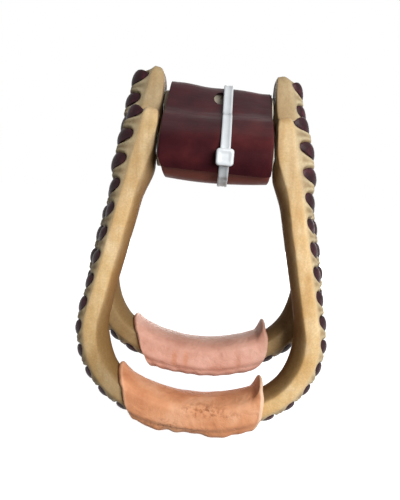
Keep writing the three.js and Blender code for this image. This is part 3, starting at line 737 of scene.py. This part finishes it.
def treadLeather(name, colours, marks, scuffed):
    material, tree, place = newMaterial(name)
    cloud = add(tree, "ShaderNodeTexNoise", {"Vector": place, "Scale": 45, "Detail": 5, "Roughness": 0.6})
    fleck = add(tree, "ShaderNodeTexNoise", {"Vector": place, "Scale": 330, "Detail": 6, "Roughness": 0.72})
    fleck = add(tree, "ShaderNodeMapRange", {"Value": fleck, "From Min": 0.48, "From Max": 0.62})
    layers = []
    for middle, size, stretch, strength, hexColour in marks:
        location = tuple(-value * mm for value in middle)
        moved = add(tree, "ShaderNodeMapping", {"Vector": place, "Location": location})
        shares = tuple(1 / (size * mm * value) for value in stretch)
        shaped = add(tree, "ShaderNodeVectorMath", {0: moved, 1: shares}, operation="MULTIPLY")
        far = add(tree, "ShaderNodeVectorMath", {0: shaped}, operation="LENGTH")
        links = {"Value": far, "From Min": 1.0, "From Max": 0.35, "To Max": strength}
        amount = add(tree, "ShaderNodeMapRange", links)
        if scuffed:
            amount = add(tree, "ShaderNodeMath", {0: amount, 1: fleck}, operation="MULTIPLY")
        layers.append((amount, 1, hexColour))
    colour = add(tree, "ShaderNodeValToRGB", {"Fac": cloud}, zip((0.32, 0.5, 0.66), colours))
    colour = coloured(tree, colour, layers + [("cutEdge", 1, "#E8C3A4")])
    grain = add(tree, "ShaderNodeTexVoronoi", {"Vector": place, "Scale": 1100})
    crease = add(tree, "ShaderNodeTexNoise", {"Vector": place, "Scale": 150, "Detail": 5, "Distortion": 1.2})
    finishMaterial(tree, colour, (cloud, 0.48, 0.62), [(crease, 0.6, 0.0013), (grain, 0.25, 0.0002)], {
        "IOR": 1.5, "Specular IOR Level": 0.15, "Subsurface Weight": 0.05,
        "Subsurface Radius": (1.0, 0.4, 0.2), "Subsurface Scale": 0.001})
    return material


# Vegetable tanned strap leather, undyed: matt grain side that darkens where a boot has rubbed; the rear
# cover's top is darkened as painted shade. A mark has its middle and radius in millimetres, its stretch,
# strength and colour
orangeLeather = treadLeather("vegTanLeatherOrange", ("#C6835C", "#DA9970", "#E4AB85"), [
    ((8, -12, -157), 24, (1.0, 1.0, 0.22), 0.8, "#8F5430"),
    ((-20, -15.5, -167), 17, (1.0, 1.0, 0.3), 0.85, "#8C5232"),
    ((-2, -15.5, -170), 12, (1.0, 1.0, 0.25), 0.7, "#8C5232"),
], True)
pinkLeather = treadLeather("vegTanLeatherPink", ("#C18B77", "#D5A18D", "#E0B19F"), [
    ((-16, 12, -133), 2.2, (1.0, 4, 3.2), 0.35, "#C9793F"),
    ((-8.5, 12, -133), 2.2, (1.0, 4, 3.2), 0.35, "#C9793F"),
    ((26, 12, -133), 2.0, (1.0, 4, 3.2), 0.3, "#B06A48"),
    # painted shade: the top of the rear cover darker and greyer
    ((0, 28, -119), 40, (1.2, 0.32, 0.2), 0.5, "#A88470"),
], False)
for (name, offset), seed, leather in zip(stirrups, (2, 7), (orangeLeather, pinkLeather)):
    settle(makeTread(name, offset, seed, leather), name + "_stirrup", "tread_leather", name + "_tread_cover")

treadThread = {
    "count": 11,
    "width": 1.8,
    "thickness": 1.2,
    "reach": 4.2,
    "slant": 2.0,
    "lift": 0.2,
    "unevenness": 0.12,
    "sunk": 0.45,      # how deep it lies in the cover
    "halfSpan": 38.0,  # of the cover's lumps, along the seam
    "frontSpan": (-30.0, 29.0),
    "rearSpan": (-24.0, 29.0),
}
# Twisted bast yarn, waxed: pale, with a fine ply
linen, tree, place = newMaterial("waxedLinenThread")
ply = add(tree, "ShaderNodeTexWave", {"Vector": place, "Scale": 700, "Distortion": 1.0},
          bands_direction="DIAGONAL").outputs["Fac"]
pale = add(tree, "ShaderNodeValToRGB", {"Fac": ply}, [(0.0, "#B7A27A"), (1.0, "#DCCBA4")])
finishMaterial(tree, pale, 0.7, [(ply, 0.5, 0.0002)])
overCover = outline["faceWidth"] + treadCovers["seamRoom"] + treadCovers["thickness"]
middleRun = seamRun[-1] / 2
for (name, offset), seed in zip(stirrups, (6, 8)):
    span = np.linspace(*treadThread[name + "Span"], treadThread["count"])
    lumps = lumpAt(span / treadThread["halfSpan"], treadCovers[name + "Lumps"])
    height = overCover - treadThread["sunk"] + lumps
    thread = makeStitches(name + "_tread_stitches", middleRun + span, height, 0.15, 0.0, offset,
                          treadThread, linen, seed, False)
    settle(thread, name + "_stirrup", "thread", name + "_tread_thread")


# Leather wrap: one strap wound round both rollers, its outer end lying over the front one
wrap = {
    "halfWidth": 33.2,
    "thickness": 4.2,
    "rollerRadius": 10.0,
    "clearance": 0.3,
    "layerGap": 1.0,
    "tail": 9.0,           # inner end, up from the front roller
    "lay": 14.0,           # length over which the outer layer lies along the inner end
    "endAngle": math.radians(77),
    "slack": 3.0,          # of the loop round the front roller
    "holeRadius": 4.2,
    "holeSide": 0.8,
    "holeRise": -4.2,      # along the front, from the rear roller
    "holeReach": (-8.0, 7.0),
    "endSlope": 2.2,       # how much shorter the free end is on the left
    "cornerRound": 4.5,
    "sag": 1.7,            # of the inner turn under the front roller, halfway between the edges
    "sagAngle": 4.62,
    "sagSpread": 0.42,
    "innerRun": 40,        # along the strap, where its inner turn shows under the free end
    "shoulderRun": 131,    # and where it comes over the rear roller, higher left and lower right
    "shoulderLift": 1.5,
    "shoulderDrop": 2.2,
    "stepsAcross": 70,
    # hollows between the rollers: place across, half width, depth; and the lengths before the free end at
    # which they begin, are deep, begin to end and end
    "hollows": ((-4.0, 19.0, 1.1), (27.0, 6.0, 0.5)),
    "hollowRuns": (86.0, 70.0, 44.0, 30.0),
    "hollowWave": 0.33,
    # where the left edge is drawn in: length along the strap, half length, depth
    "drawnIn": ((42.0, 16.0, 3.4), (128.0, 18.0, 1.2)),
    # waves of both edges: size, pace, start
    "edgeWaves": ((0.15, 0.11, 0.0), (0.0875, 0.31, 1.0)),
}
rollerLine = np.array(outline["rearOffset"][1:])
rollerWay = rollerLine / np.linalg.norm(rollerLine)
frontAngle = math.atan2(rollerWay[0], -rollerWay[1])
innerLayer = wrap["rollerRadius"] + wrap["clearance"] + wrap["thickness"] / 2
outerLayer = innerLayer + wrap["thickness"] + wrap["layerGap"]
frontLoop = -rollerWay * wrap["slack"]


def onCircle(centre, radius, angle):
    angle = np.asarray(angle, float)
    return np.stack([centre[0] + radius * np.cos(angle), centre[1] + radius * np.sin(angle)], -1)


def resample(line, step):
    line = np.asarray(line, float)
    run = np.concatenate([[0], np.cumsum(np.linalg.norm(np.diff(line, axis=0), axis=1))])
    at = np.linspace(0, run[-1], int(round(run[-1] / step)) + 1)
    return np.stack([np.interp(at, run, line[:, 0]), np.interp(at, run, line[:, 1])], -1), at


def softened(line, times):
    line = line.copy()
    for _ in range(times):
        line[1:-1] = (line[:-2] + 2 * line[1:-1] + line[2:]) / 4
    return line


def normalsOf(line):
    way = np.gradient(line, axis=0)
    way /= np.linalg.norm(way, axis=1)[:, None]
    return np.stack([-way[:, 1], way[:, 0]], -1)


def alongFront(way, radius):
    return onCircle(rollerWay * way, radius, frontAngle)


def sagAt(y, z, across):
    angle = np.arctan2(z - frontLoop[1], y - frontLoop[0]) % (2 * math.pi)
    return wrap["sag"] * bump(angle, wrap["sagAngle"], wrap["sagSpread"]) * (1 - across ** 2)


def makeWrap(material):
    halfTurn = math.pi
    line = np.concatenate([
        [alongFront(wrap["tail"], innerLayer)],
        onCircle(frontLoop, innerLayer, np.linspace(frontAngle, frontAngle + halfTurn, 40)),
        onCircle(rollerLine, innerLayer, np.linspace(frontAngle + halfTurn, frontAngle + 2 * halfTurn, 40)),
        [alongFront(wrap["lay"] + 6, innerLayer + 0.4)],
        [alongFront(wrap["lay"] - 3, outerLayer - 0.3)],
        onCircle(frontLoop, outerLayer, np.linspace(frontAngle, frontAngle + wrap["endAngle"], 30)),
    ])
    line, run = resample(line, 1.4)
    line = softened(line, 4)
    out = -normalsOf(line)
    total = run[-1]
    share = np.linspace(-1, 1, wrap["stepsAcross"])
    half, halfWidth = wrap["thickness"] / 2, wrap["halfWidth"]
    # each column: its place from -1 to 1, its side of the strap, how far the edge bulges there
    rim = np.linspace(0, math.pi, 7)[1:-1]
    columns = [(s, 1.0, 0.0) for s in share] + [(1.0, math.cos(a), math.sin(a)) for a in rim]
    columns += [(s, -1.0, 0.0) for s in share[::-1]] + [(-1.0, -math.cos(a), math.sin(a)) for a in rim]
    begin, deepFrom, deepTo, end = (total - before for before in wrap["hollowRuns"])
    plane = smoothstep(begin, deepFrom, run) * smoothstep(end, deepTo, run)
    fromLeft = (np.array([s for s, _, _ in columns]) + 1) * halfWidth
    corner = np.clip(1 - fromLeft / wrap["cornerRound"], 0, 1)
    corner += 0.5 * np.clip(1 - (2 * halfWidth - fromLeft) / wrap["cornerRound"], 0, 1)
    shorter = wrap["endSlope"] * (1 - fromLeft / (2 * halfWidth))
    shorter += wrap["cornerRound"] * (1 - np.sqrt(1 - np.minimum(corner, 1) ** 2))
    points, uvs = [], []
    for i, here in enumerate(run):
        ring = []
        at = here - shorter * smoothstep(total - 16, total, here)
        ys, zs, outY, outZ = (np.interp(at, run, values) for values in (*line.T, *out.T))
        widen = sum(size * math.sin(i * pace + start) for size, pace, start in wrap["edgeWaves"])
        inset = sum(deep * bump(here, middle, spread) for middle, spread, deep in wrap["drawnIn"])
        leftLift = wrap["shoulderLift"] * bump(here, wrap["shoulderRun"], 17)
        rightDrop = wrap["shoulderDrop"] * bump(here, wrap["shoulderRun"], 20)
        for (s, side, edge), y, z, upY, upZ in zip(columns, ys, zs, outY, outZ):
            x = s * (halfWidth - 1.0 + widen) + np.sign(s) * edge * 0.9 + inset * smoothstep(0.2, -1.0, s)
            hollow = sum(deep * bump(x, middle, spread) for middle, spread, deep in wrap["hollows"])
            hollow -= wrap["hollowWave"] * math.sin(x * 0.09 + i * 0.05)
            lift = half * side * (1 - 0.25 * edge) - hollow * plane[i] + sagAt(y, z, s)
            if side > 0.5:
                lift += leftLift * smoothstep(-3, -24, x) - rightDrop * smoothstep(5, 32, x)
            ring.append((x, y + upY * lift, z + upZ * lift))
        points.append(ring)
        uvs += [(s * halfWidth / 100, here / 100) for s, _, _ in columns]
    count = len(columns)
    faces = gridFaces(len(points), count)
    wide, rims = len(share), len(rim)
    for ring, flip in ((0, False), (len(points) - 1, True)):
        face = list(range(ring * count, (ring + 1) * count))
        top, bottom = face[:wide], face[wide + rims:2 * wide + rims][::-1]
        ends = [[a, b, c, d][::-1] for a, b, c, d in zip(top[:-1], top[1:], bottom[1:], bottom[:-1])]
        ends.append(([top[-1]] + face[wide:wide + rims] + [bottom[-1]])[::-1])
        ends.append([bottom[0]] + face[2 * wide + rims:] + [top[0]])
        faces += [end[::-1] for end in ends] if flip else ends
    marks = {
        "fleshSide": np.tile([1.0 if side < 0.5 else 0.0 for _, side, _ in columns], len(run)),
        "innerTurn": np.repeat(bump(run, wrap["innerRun"], 18), count),
        "lowEnd": np.repeat(smoothstep(total - 27, total - 14, run), count),
    }
    return makePiece("wrapped_strap", np.array(points).reshape(-1, 3), faces, material, marks, uvs)


def tubeFaces(rings, count):
    first = list(range(count))
    return gridFaces(rings, count) + [first[::-1], [(rings - 1) * count + k for k in first]]


# The hole punched through the strap, over the rear roller
def punchHole(piece, material):
    middle = alongFront(float(np.linalg.norm(rollerLine)) + wrap["holeRise"], innerLayer)
    turns = np.linspace(0, 2 * math.pi, 48, endpoint=False)
    circle = wrap["holeRadius"] * np.stack([np.cos(turns), 0 * turns, np.sin(turns)], -1)
    points = [circle + (wrap["holeSide"], middle[0] + reach, middle[1]) for reach in wrap["holeReach"]]
    points = np.concatenate(points)
    marks = {"fleshSide": np.ones(len(points)), "innerTurn": np.zeros(len(points))}
    cutter = makePiece("holePunch", points, tubeFaces(2, len(turns)), material, marks)
    modifier = piece.modifiers.new("punch", "BOOLEAN")
    modifier.operation = "DIFFERENCE"
    modifier.solver = "EXACT"
    modifier.object = cutter
    made = bpy.data.meshes.new_from_object(piece.evaluated_get(bpy.context.evaluated_depsgraph_get()))
    piece.modifiers.clear()
    piece.data = made
    made.name = piece.name
    made.set_sharp_from_angle(angle=math.radians(50))
    bpy.data.objects.remove(cutter)


# Drum dyed strap leather, waxed: deep oxblood, redder where it was flexed, brown on its flesh side
oxblood, tree, place = newMaterial("oxbloodStrapLeather")
cloud = add(tree, "ShaderNodeTexNoise", {"Vector": place, "Scale": 38, "Detail": 4, "Roughness": 0.55})
red = add(tree, "ShaderNodeValToRGB", {"Fac": cloud},
          [(0.32, "#2C0F14"), (0.5, "#3B161A"), (0.68, "#502122")])
colour = coloured(tree, red, [("innerTurn", 1, "#7D463D"), ("fleshSide", 1, "#6B4434")])
across = add(tree, "ShaderNodeMapping", {"Vector": place, "Scale": (1.0, 6.0, 6.0)})
streak = add(tree, "ShaderNodeTexNoise", {"Vector": across, "Scale": 60, "Detail": 4})
grain = add(tree, "ShaderNodeTexVoronoi", {"Vector": place, "Scale": 1400})
lowEnd = add(tree, "ShaderNodeAttribute", attribute_name="lowEnd").outputs["Fac"]
sheen = add(tree, "ShaderNodeMapRange", {"Value": lowEnd, "To Min": 0.17, "To Max": 0.03})
finishMaterial(tree, colour, (streak, 0.34, 0.55), [(grain, 0.2, 0.0002), (streak, 0.25, 0.0006)],
               {"IOR": 1.5, "Specular IOR Level": sheen})

wrapPiece = makeWrap(oxblood)
punchHole(wrapPiece, oxblood)
settle(wrapPiece, "neck_bundle", "wrap_leather", "neck_wrap")


# Rollers: plastic sleeves on the neck bolts
roller = {
    "bore": 4.3,
    "halfLength": 34.7,
    "edge": 0.8,
    "sides": 64,
}


def makeRoller(name, offset, material):
    edge, end, wide, bore = roller["edge"], roller["halfLength"], wrap["rollerRadius"], roller["bore"]
    half = [(end - edge, wide), (end - edge * 0.3, wide - edge * 0.3), (end, wide - edge),
            (end, bore + edge), (end - edge, bore)]
    profile = [(-x, radius) for x, radius in half[::-1]] + half
    angles = np.linspace(0, 2 * math.pi, roller["sides"], endpoint=False)
    circle = np.stack([0 * angles, np.cos(angles), np.sin(angles)], -1)
    rings = [radius * circle + (x, 0, 0) for x, radius in profile]
    faces = gridFaces(len(profile), len(angles), closeRings=True)
    return makePiece(name + "_roller", np.concatenate(rings) + offset, faces, material)


# Filled polyethylene, drawn: matt, faint lines along it
sleeve, tree, place = newMaterial("extrudedSleevePlastic")
cloud = add(tree, "ShaderNodeTexNoise", {"Vector": place, "Scale": 120, "Detail": 3})
colour = add(tree, "ShaderNodeValToRGB", {"Fac": cloud}, [(0.3, "#A39A88"), (0.7, "#BDB5A4")])
drawn = add(tree, "ShaderNodeMapping", {"Vector": place, "Scale": (0.05, 1.0, 1.0)})
drawn = add(tree, "ShaderNodeTexNoise", {"Vector": drawn, "Scale": 900})
finishMaterial(tree, colour, 0.5, [(drawn, 0.15, 0.0002)])
for name, offset in stirrups:
    settle(makeRoller(name, offset, sleeve), "neck_bundle", "roller", name + "_neck_roller")


# Cable tie: a moulded strap pulled through its head
tie = {
    "side": 5.4,
    "width": 5.8,
    "thickness": 1.2,
    "headWidth": 10.2,
    "headLength": 9.8,
    "headHeight": 6.4,
    "headCorner": 1.9,
    "rail": 1.2,           # width of the strap's raised edges
    "sunk": 0.25,          # how far its middle lies under them
    "headAngle": math.radians(2),
    "lag": math.radians(5.4),  # past the leather's free end, before it drops to the inner turn
    "rise": math.radians(14),  # over which it lies on the leather before it goes into its head
}


def makeTie(material):
    skin = wrap["thickness"] / 2 + wrap["clearance"] + tie["thickness"] / 2
    frontRadius, rearRadius = outerLayer + skin, innerLayer + skin
    head = math.pi + tie["headAngle"]
    slotRadius = frontRadius + tie["thickness"] + 0.6
    layerEnd = frontAngle + wrap["endAngle"] + tie["lag"]
    drop = math.acos(rearRadius / frontRadius)
    enter = onCircle(frontLoop, slotRadius, head)
    way = np.array([-math.sin(head), math.cos(head)])
    line = np.concatenate([
        onCircle(frontLoop, frontRadius, np.linspace(head, layerEnd, 12)),
        onCircle(frontLoop, rearRadius, np.linspace(layerEnd + drop, frontAngle + math.pi, 24)),
        onCircle(rollerLine, rearRadius, np.linspace(frontAngle + math.pi, frontAngle + 2 * math.pi, 40)),
        [alongFront(wrap["lay"] + 4, rearRadius + 0.6)],
        [alongFront(wrap["lay"] - 3, frontRadius)],
        onCircle(frontLoop, frontRadius, np.linspace(frontAngle, frontAngle + tie["rise"], 6)),
        [enter - way * tie["headLength"] / 2, enter + way * (tie["headLength"] / 2 - 0.5)],
    ])
    line, run = resample(line, 0.9)
    line = softened(line, 5)
    out = -normalsOf(line)
    line = line + out * sagAt(line[:, 0], line[:, 1], tie["side"] / wrap["halfWidth"])[:, None]
    w, t, rail = tie["width"] / 2, tie["thickness"] / 2, tie["rail"]
    half = [(w - rail * 1.25, t - tie["sunk"]), (w - rail, t), (w - 0.45, t), (w, t * 0.5), (w, -t * 0.5),
            (w - 0.5, -t)]
    section = [(-x, lift) for x, lift in half[::-1]] + half
    rings = []
    for (y, z), n in zip(line, out):
        rings.append([(tie["side"] + x, y + n[0] * lift, z + n[1] * lift) for x, lift in section])
    # greyer all along where it lies on the dark leather, and much greyer on its front below the head, which
    # is painted shade
    greyingAndPaintedShade = np.repeat(0.28 + 0.72 * smoothstep(26, 20, run), len(section))
    faces = tubeFaces(len(rings), len(section))
    strap = makePiece("cable_tie_strap", np.concatenate(rings), faces, material, {"greyingAndPaintedShade": greyingAndPaintedShade})

    # the head: a rounded block, hollowed a little where the strap comes out
    outwards = onCircle((0, 0), 1, head)
    base = onCircle(frontLoop, frontRadius - tie["thickness"] / 2, head)
    top = tie["headHeight"]
    levels = [(0, 0.86, 0.88), (0.5, 0.95, 0.96), (1.4, 1, 1), (top - 1.4, 1, 1), (top - 0.5, 0.96, 0.965),
              (top, 0.87, 0.88), (top, 0.62, 0.6), (top - 0.35, 0.55, 0.53), (top - 0.4, 0.3, 0.3)]
    corners = [(sideX, sideY, quarter * math.pi / 2 + angle)
               for quarter, (sideX, sideY) in enumerate(((1, 1), (-1, 1), (-1, -1), (1, -1)))
               for angle in np.linspace(0, math.pi / 2, 6)]
    points = []
    for height, shareX, shareY in levels:
        halfX, halfY = tie["headWidth"] / 2 * shareX, tie["headLength"] / 2 * shareY
        bend = tie["headCorner"] * shareX
        for sideX, sideY, angle in corners:
            x = tie["side"] + sideX * (halfX - bend) + bend * math.cos(angle)
            along = sideY * (halfY - bend) + bend * math.sin(angle)
            points.append((x, *(base + way * along + outwards * height)))
    return strap, makePiece("cable_tie_head", points, tubeFaces(len(levels), len(corners)), material)


# Injection moulded polyamide: milky, lets light in, satin; greyer where it lies on the dark leather, and
# painted shade on the strap's front below the head
nylon, tree, place = newMaterial("mouldedNaturalNylon")
cloud = add(tree, "ShaderNodeTexNoise", {"Vector": place, "Scale": 160, "Detail": 3})
colour = add(tree, "ShaderNodeValToRGB", {"Fac": cloud}, [(0.3, "#CDD2D5"), (0.7, "#DDE1E3")])
# greyer over the dark leather, and painted shade on the strap's front below the head
colour = coloured(tree, colour, [("greyingAndPaintedShade", 1, "#ACB0B3")])
finishMaterial(tree, colour, 0.36, [(cloud, 0.15, 0.0004)], {
    "IOR": 1.53, "Subsurface Weight": 0.2, "Subsurface Radius": (1.0, 1.0, 1.0), "Subsurface Scale": 0.0012})
tieStrap, tieHead = makeTie(nylon)
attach(tieHead, "neck_bundle")
settle(tieStrap, "neck_bundle", "nylon", "cable_tie")


# Materials of the CAD parts inside
# Steam bent maple plies, sanded: fine grain along the bend
wood, tree, place = newMaterial("laminatedMaple")
fibre = add(tree, "ShaderNodeMapping", {"Vector": place, "Scale": (1.0, 0.25, 0.25)})
fibre = add(tree, "ShaderNodeTexNoise", {"Vector": fibre, "Scale": 700, "Detail": 5})
colour = add(tree, "ShaderNodeValToRGB", {"Fac": fibre}, [(0.35, "#B98B56"), (0.65, "#D8B27C")])
finishMaterial(tree, colour, 0.6, [(fibre, 0.2, 0.0002)])

# Cold headed steel with bright zinc: bluish, finely scratched
zinc, tree, place = newMaterial("zincPlatedSteel")
scratch = add(tree, "ShaderNodeTexNoise", {"Vector": place, "Scale": 800, "Detail": 4})
colour = add(tree, "ShaderNodeValToRGB", {"Fac": scratch}, [(0.3, "#AEB3B8"), (0.7, "#C9CDD1")])
finishMaterial(tree, colour, (scratch, 0.25, 0.42), [(scratch, 0.1, 0.0001)], {"Metallic": 1.0})

for name, _ in stirrups:
    for node in ("frame_core", "neck_bolt", "neck_nut", "head_washer", "nut_washer"):
        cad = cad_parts[name + "_" + node]
        cad.data.materials.clear()
        cad.data.materials.append(wood if node == "frame_core" else zinc)
print("CAD parts inside have their materials")


# Floor, light and world
stage = {
    "floorHeight": -0.1815,
    "floorHalfWidth": 6.0,
    "aim": (0, 0, -0.05),  # of both lamps
    "worldStrength": 0.1,
    "keyPower": 15.0,
    "keyPlace": (0.5, -0.87, 0.27),
    "keySize": 0.6,
    "backPower": 9.0,      # for the side that the photograph doesn't show
    "backPlace": (0.2, 1.15, 0.1),
    "backSize": 0.8,
}


# Whether the camera sees a surface itself, in a mirror image or through something
def seenRay(tree):
    path = add(tree, "ShaderNodeLightPath").outputs
    links = {0: path["Is Camera Ray"], 1: path["Is Glossy Ray"]}
    links = {0: add(tree, "ShaderNodeMath", links, operation="MAXIMUM"), 1: path["Is Transmission Ray"]}
    return add(tree, "ShaderNodeMath", links, operation="MAXIMUM")


floorMesh = bpy.data.meshes.new("floor")
wide = stage["floorHalfWidth"]
corners = [(x * wide, y * wide, stage["floorHeight"]) for x, y in ((-1, -1), (1, -1), (1, 1), (-1, 1))]
floorMesh.from_pydata(corners, [], [[0, 1, 2, 3]])
paper, tree, place = newMaterial("paleFloor")
matt = add(tree, "ShaderNodeBsdfDiffuse", {"Color": linear("#F4F4F4")})
away = add(tree, "ShaderNodeVectorMath", {0: place}, operation="LENGTH")
links = {"Value": away, "From Min": 0.4, "From Max": 1.4, "To Min": 0.78, "To Max": 0.95}
rising = add(tree, "ShaderNodeMapRange", links)
glow = add(tree, "ShaderNodeEmission", {"Color": (1, 1, 1, 1), "Strength": rising})
both = add(tree, "ShaderNodeAddShader", {0: matt, 1: glow})
dull = add(tree, "ShaderNodeBsdfDiffuse", {"Color": linear("#707070")})
shown = add(tree, "ShaderNodeMixShader", {0: seenRay(tree), 1: dull, 2: both})
add(tree, "ShaderNodeOutputMaterial", {"Surface": shown})
floorMesh.materials.append(paper)
linked("floor", floorMesh)

world = bpy.data.worlds.new("world")
world.use_nodes = True
tree = world.node_tree
tree.nodes.clear()
soft = add(tree, "ShaderNodeBackground", {"Color": (1, 1, 1, 1), "Strength": stage["worldStrength"]})
white = add(tree, "ShaderNodeBackground", {"Color": (1, 1, 1, 1), "Strength": 1.0})
shown = add(tree, "ShaderNodeMixShader", {0: seenRay(tree), 1: soft, 2: white})
add(tree, "ShaderNodeOutputWorld", {"Surface": shown})
bpy.context.scene.world = world

for name in ("key", "back"):
    lamp = bpy.data.lights.new(name, "AREA")
    lamp.energy = stage[name + "Power"]
    lamp.size = stage[name + "Size"]
    lampObject = linked(name, lamp)
    lampObject.location = stage[name + "Place"]
    towards = Vector(stage["aim"]) - Vector(stage[name + "Place"])
    lampObject.rotation_euler = towards.to_track_quat("-Z", "Y").to_euler()
bpy.context.scene.view_settings.view_transform = "Standard"
print("floor, lamps and world set")
